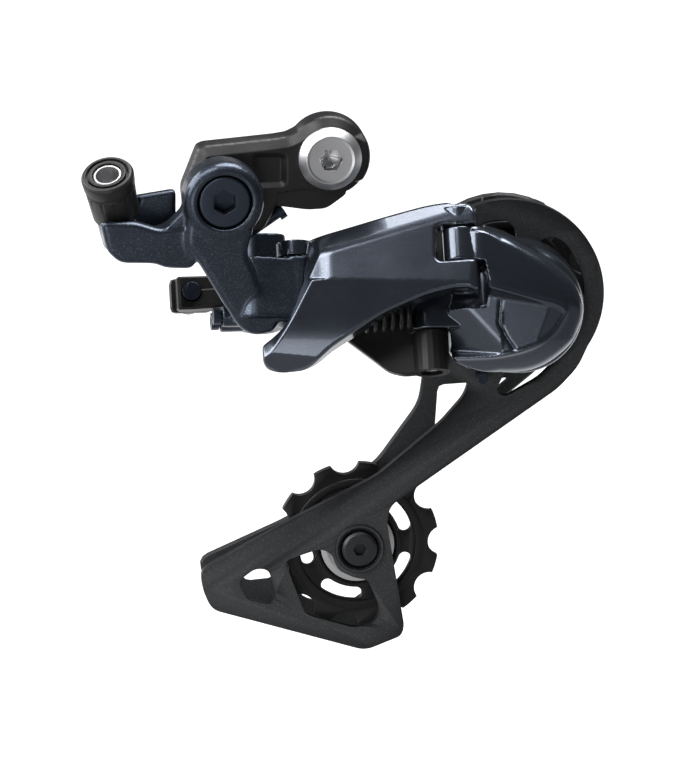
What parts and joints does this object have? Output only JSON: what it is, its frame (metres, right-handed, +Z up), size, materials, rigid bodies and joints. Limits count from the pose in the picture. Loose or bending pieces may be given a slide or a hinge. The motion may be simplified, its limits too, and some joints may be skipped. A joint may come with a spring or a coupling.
{
  "type": "rear bicycle derailleur",
  "caption": "Rear derailleur: slanted parallelogram between two knuckles, sprung pulley cage, bracket link with hanger bolt, cable adjuster and clamp.",
  "frame": {"origin": "on the hanger bolt's axis, in the plane of the bracket link's seat against the bicycle's hanger", "axes": "+X forward on the bicycle, +Y inboard towards the wheel, +Z up"},
  "size_m": [0.1375, 0.0446, 0.1434],
  "materials": {
    "blue_grey_paint": "glossy dark blue-grey metallic paint",
    "black_alloy": "satin black anodised alloy",
    "cage_paint": "fine-grained dark grey metallic paint",
    "black_resin": "matte black resin",
    "bright_steel": "turned bright steel",
    "bush_steel": "ground steel",
    "dark_steel": "dark plated steel",
    "spring_steel": "black oxidised spring wire",
    "seal_rubber": "matte black rubber"
  },
  "bodies": {
    "mounting": {"bracket_link": "black_alloy", "hanger_bolt": "bright_steel", "b_axle": "dark_steel", "b_tension_screw": "dark_steel"},
    "upper": {"upper_knuckle": "blue_grey_paint", "b_axle_bush": "bush_steel", "b_axle_seal": "seal_rubber", "limit_screw_high": "dark_steel", "limit_screw_low": "dark_steel", "cable_adjuster_stem": "bush_steel", "pin_a": "bush_steel", "pin_b": "bush_steel"},
    "adjuster": {"cable_adjuster_barrel": "black_resin"},
    "outer_arm": {"outer_link": "blue_grey_paint", "pin_a_bush_lower": "bush_steel", "pin_a_bush_upper": "bush_steel", "pin_c_bush_lower": "bush_steel", "pin_c_bush_upper": "bush_steel", "return_spring": "spring_steel"},
    "inner_arm": {"inner_link": "black_alloy", "cable_clamp_plate": "black_alloy", "cable_clamp_bolt": "dark_steel", "pin_b_bush_lower": "bush_steel", "pin_d_bush_lower": "bush_steel", "pin_d_bush_upper": "bush_steel"},
    "lower": {"lower_knuckle": "blue_grey_paint", "p_axle_cap": "blue_grey_paint", "p_axle_bush": "bush_steel", "p_spring_seal": "seal_rubber", "p_tension_spring": "spring_steel", "pin_c": "bush_steel", "pin_d": "bush_steel"},
    "cage": {"cage_axle": "bush_steel", "cage_outer_plate": "cage_paint", "cage_inner_plate": "cage_paint", "cage_stop_pin": "dark_steel", "tension_pulley_bolt": "dark_steel", "guide_pulley_bolt": "dark_steel", "guide_bearing_inner_race": "bush_steel", "tension_bearing_inner_race": "bush_steel"},
    "guide_wheel": {"guide_pulley": "black_resin", "guide_bearing_outer_race": "bush_steel", "guide_outer_dust_cap": "bright_steel", "guide_inner_dust_cap": "bright_steel"},
    "tension_wheel": {"tension_pulley": "black_resin", "tension_bearing_outer_race": "bush_steel", "tension_outer_dust_cap": "bright_steel", "tension_inner_dust_cap": "bright_steel"}
  },
  "joints": [
    {"name": "b_pivot", "type": "hinge", "parent": "mounting", "child": "upper", "pos_m": [-0.0284, 0, -0.0086], "axis": [0, 1, 0], "range_deg": [0, 35]},
    {"name": "adjuster_turn", "type": "hinge", "parent": "upper", "child": "adjuster", "pos_m": [-0.0551, -0.0076, -0.0136], "axis": [-0.2219, -0.4658, 0.8566], "continuous": true},
    {"name": "shift_outer", "type": "hinge", "parent": "upper", "child": "outer_arm", "pos_m": [-0.009, 0.00526, -0.00268], "axis": [0, 0.454, 0.891], "range_deg": [0, 50], "stiffness_Nm_per_rad": 0.3, "springref_deg": -45.84},
    {"name": "shift_inner", "type": "hinge", "parent": "upper", "child": "inner_arm", "pos_m": [-0.0166, 0.01639, -0.00835], "axis": [0, 0.454, 0.891], "range_deg": [0, 50]},
    {"name": "knuckle_level", "type": "hinge", "parent": "outer_arm", "child": "lower", "pos_m": [0.0331, -0.00205, 0.00104], "axis": [0, 0.454, 0.891], "range_deg": [-50, 0]},
    {"name": "cage_pivot", "type": "hinge", "parent": "lower", "child": "cage", "pos_m": [0.049, 0, -0.041], "axis": [0, -1, 0], "range_deg": [0, 100], "stiffness_Nm_per_rad": 0.08, "springref_deg": -114.59},
    {"name": "guide_spin", "type": "hinge", "parent": "cage", "child": "guide_wheel", "pos_m": [0.0469, 0.01025, -0.0389], "axis": [0, 1, 0], "continuous": true},
    {"name": "tension_spin", "type": "hinge", "parent": "cage", "child": "tension_wheel", "pos_m": [0.0091, 0.01025, -0.1061], "axis": [0, 1, 0], "continuous": true}
  ],
  "couplings": [
    {"joint": "shift_inner", "follows": "shift_outer", "ratio": 1},
    {"joint": "knuckle_level", "follows": "shift_outer", "ratio": -1}
  ]
}
